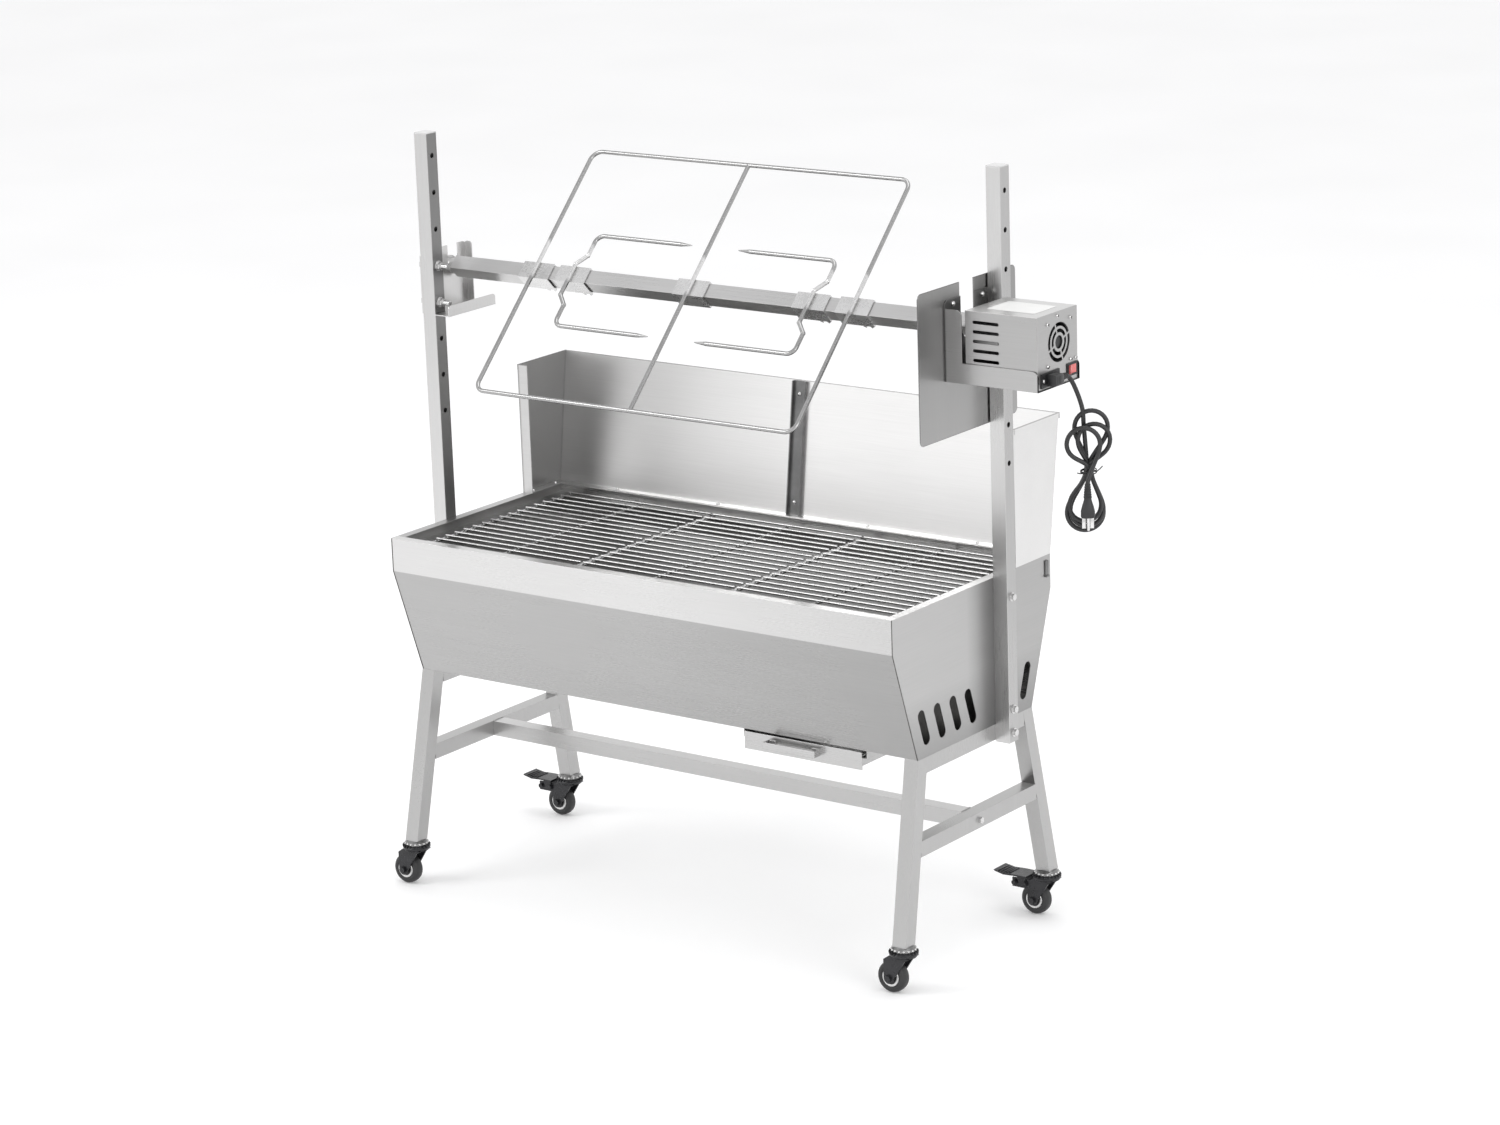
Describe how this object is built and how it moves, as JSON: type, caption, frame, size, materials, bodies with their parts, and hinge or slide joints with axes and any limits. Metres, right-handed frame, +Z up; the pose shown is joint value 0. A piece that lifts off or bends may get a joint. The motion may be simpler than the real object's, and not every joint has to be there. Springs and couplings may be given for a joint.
{
  "type": "rotisserie spit roaster",
  "caption": "Charcoal spit roaster: stainless trough on a wheeled stand, motor-driven square spit with a wire rack and prongs, lift-out grates, windscreen and ash drawer.",
  "frame": {"origin": "on the floor, under the middle of the firebox", "axes": "+X along the spit towards the motor, +Y towards the windscreen, +Z up"},
  "size_m": [1.2957, 0.474, 1.234],
  "materials": {
    "stainless": "fine brushed grain",
    "thin stainless": "bright rolled sheet",
    "rim steel": "brushed grain",
    "dark steel": "heat-darkened black",
    "wire": "polished wire",
    "zinc": "plated fasteners",
    "black plastic": "moulded",
    "red plastic": "translucent rocker",
    "motor metal": "painted casting",
    "black sheet": "black stamped sheet",
    "tyre": "solid tread",
    "cord": "smooth sheath",
    "cap": "grey end cap"
  },
  "bodies": {
    "stand": {"left_leg_frame": "stainless", "right_leg_frame": "stainless", "stretcher": "stainless", "left_post": "stainless", "right_post": "stainless", "post_caps": "cap", "trough_shell": "thin stainless", "left_end_panel": "thin stainless", "right_end_panel": "thin stainless", "grate_ledges": "rim steel", "charcoal_grate": "dark steel", "windscreen_left": "thin stainless", "windscreen_right": "thin stainless", "windscreen_seam": "dark steel", "frame_bolts": "zinc", "bracket_bolts": "zinc", "sheet_screws": "zinc", "left_bracket": "stainless", "motor_bracket": "stainless", "heat_shield": "thin stainless", "motor_case": "stainless", "motor_end_plate": "stainless", "gear_motor": "motor metal", "fan_frame": "black plastic", "case_screws": "zinc", "switch_bezel": "black plastic", "power_inlet": "black plastic", "drawer_runners": "thin stainless", "caster_stems": "zinc", "cord_connector": "cord", "cord_lead": "cord", "cord_hank": "cord", "cord_plug": "cord"},
    "spit": {"spit_bar": "stainless", "drive_socket": "motor metal", "roast_rack": "wire"},
    "left fork": {"fork_left": "wire"},
    "right fork": {"fork_right": "wire"},
    "rack screw left": {"rack_screw_left": "zinc"},
    "rack screw right": {"rack_screw_right": "zinc"},
    "fork screw left": {"fork_screw_left": "zinc"},
    "fork screw right": {"fork_screw_right": "zinc"},
    "fan": {"fan_rotor": "black plastic"},
    "rocker": {"switch_rocker": "red plastic"},
    "drawer": {"ash_drawer": "thin stainless", "drawer_handle": "thin stainless"},
    "left grate": {"grate_left": "wire"},
    "middle grate": {"grate_middle": "wire"},
    "right grate": {"grate_right": "wire"},
    "caster fl": {"caster_fork_fl": "black sheet"},
    "wheel fl": {"caster_wheel_fl": "tyre"},
    "caster fr": {"caster_fork_fr": "black sheet"},
    "wheel fr": {"caster_wheel_fr": "tyre"},
    "caster rl": {"caster_fork_rl": "black sheet"},
    "wheel rl": {"caster_wheel_rl": "tyre"},
    "caster rr": {"caster_fork_rr": "black sheet"},
    "wheel rr": {"caster_wheel_rr": "tyre"},
    "brake pedal rl": {"brake_pedal_rl": "black sheet"},
    "brake pedal rr": {"brake_pedal_rr": "black sheet"}
  },
  "joints": [
    {"name": "spit_spin", "type": "hinge", "parent": "stand", "child": "spit", "pos_m": [0, 0, 1.002], "axis": [1, 0, 0], "continuous": true},
    {"name": "left_fork_slide", "type": "slide", "parent": "spit", "child": "left fork", "axis": [1, 0, 0], "range_m": [-0.009, 0.022]},
    {"name": "right_fork_slide", "type": "slide", "parent": "spit", "child": "right fork", "axis": [1, 0, 0], "range_m": [-0.04, 0.016]},
    {"name": "rack_screw_left_turn", "type": "hinge", "parent": "spit", "child": "rack screw left", "pos_m": [-0.332, 0.01414, 0.98786], "axis": [0, 0.7071, -0.7071], "continuous": true},
    {"name": "rack_screw_right_turn", "type": "hinge", "parent": "spit", "child": "rack screw right", "pos_m": [0.29, 0.01414, 0.98786], "axis": [0, 0.7071, -0.7071], "continuous": true},
    {"name": "fork_screw_left_turn", "type": "hinge", "parent": "left fork", "child": "fork screw left", "pos_m": [-0.258, 0.01414, 0.98786], "axis": [0, 0.7071, -0.7071], "continuous": true},
    {"name": "fork_screw_right_turn", "type": "hinge", "parent": "right fork", "child": "fork screw right", "pos_m": [0.209, 0.01414, 0.98786], "axis": [0, 0.7071, -0.7071], "continuous": true},
    {"name": "fan_spin", "type": "hinge", "parent": "stand", "child": "fan", "pos_m": [0.644, 0, 0.991], "axis": [1, 0, 0], "continuous": true},
    {"name": "switch_rock", "type": "hinge", "parent": "stand", "child": "rocker", "pos_m": [0.648, 0.034, 0.944], "axis": [0, 0, 1], "range_deg": [-14, 0]},
    {"name": "drawer_slide", "type": "slide", "parent": "stand", "child": "drawer", "axis": [0, -1, 0], "range_m": [0, 0.2]},
    {"name": "left_grate_lift", "type": "slide", "parent": "stand", "child": "left grate", "axis": [0, 0, 1], "range_m": [0, 0.12]},
    {"name": "middle_grate_lift", "type": "slide", "parent": "stand", "child": "middle grate", "axis": [0, 0, 1], "range_m": [0, 0.12]},
    {"name": "right_grate_lift", "type": "slide", "parent": "stand", "child": "right grate", "axis": [0, 0, 1], "range_m": [0, 0.12]},
    {"name": "caster_fl_swivel", "type": "hinge", "parent": "stand", "child": "caster fl", "pos_m": [-0.4855, -0.2035, 0.064], "axis": [0, 0, 1], "continuous": true},
    {"name": "wheel_fl_roll", "type": "hinge", "parent": "caster fl", "child": "wheel fl", "pos_m": [-0.5055, -0.2035, 0.025], "axis": [0, 1, 0], "continuous": true},
    {"name": "caster_fr_swivel", "type": "hinge", "parent": "stand", "child": "caster fr", "pos_m": [0.4855, -0.2035, 0.064], "axis": [0, 0, 1], "continuous": true},
    {"name": "wheel_fr_roll", "type": "hinge", "parent": "caster fr", "child": "wheel fr", "pos_m": [0.4655, -0.2035, 0.025], "axis": [0, 1, 0], "continuous": true},
    {"name": "caster_rl_swivel", "type": "hinge", "parent": "stand", "child": "caster rl", "pos_m": [-0.4855, 0.2035, 0.064], "axis": [0, 0, 1], "continuous": true},
    {"name": "wheel_rl_roll", "type": "hinge", "parent": "caster rl", "child": "wheel rl", "pos_m": [-0.5055, 0.2035, 0.025], "axis": [0, 1, 0], "continuous": true},
    {"name": "caster_rr_swivel", "type": "hinge", "parent": "stand", "child": "caster rr", "pos_m": [0.4855, 0.2035, 0.064], "axis": [0, 0, 1], "continuous": true},
    {"name": "wheel_rr_roll", "type": "hinge", "parent": "caster rr", "child": "wheel rr", "pos_m": [0.4655, 0.2035, 0.025], "axis": [0, 1, 0], "continuous": true},
    {"name": "brake_rl_tip", "type": "hinge", "parent": "caster rl", "child": "brake pedal rl", "pos_m": [-0.5185, 0.2035, 0.051], "axis": [0, 1, 0], "range_deg": [-8, 0]},
    {"name": "brake_rr_tip", "type": "hinge", "parent": "caster rr", "child": "brake pedal rr", "pos_m": [0.4525, 0.2035, 0.051], "axis": [0, 1, 0], "range_deg": [-8, 0]}
  ]
}
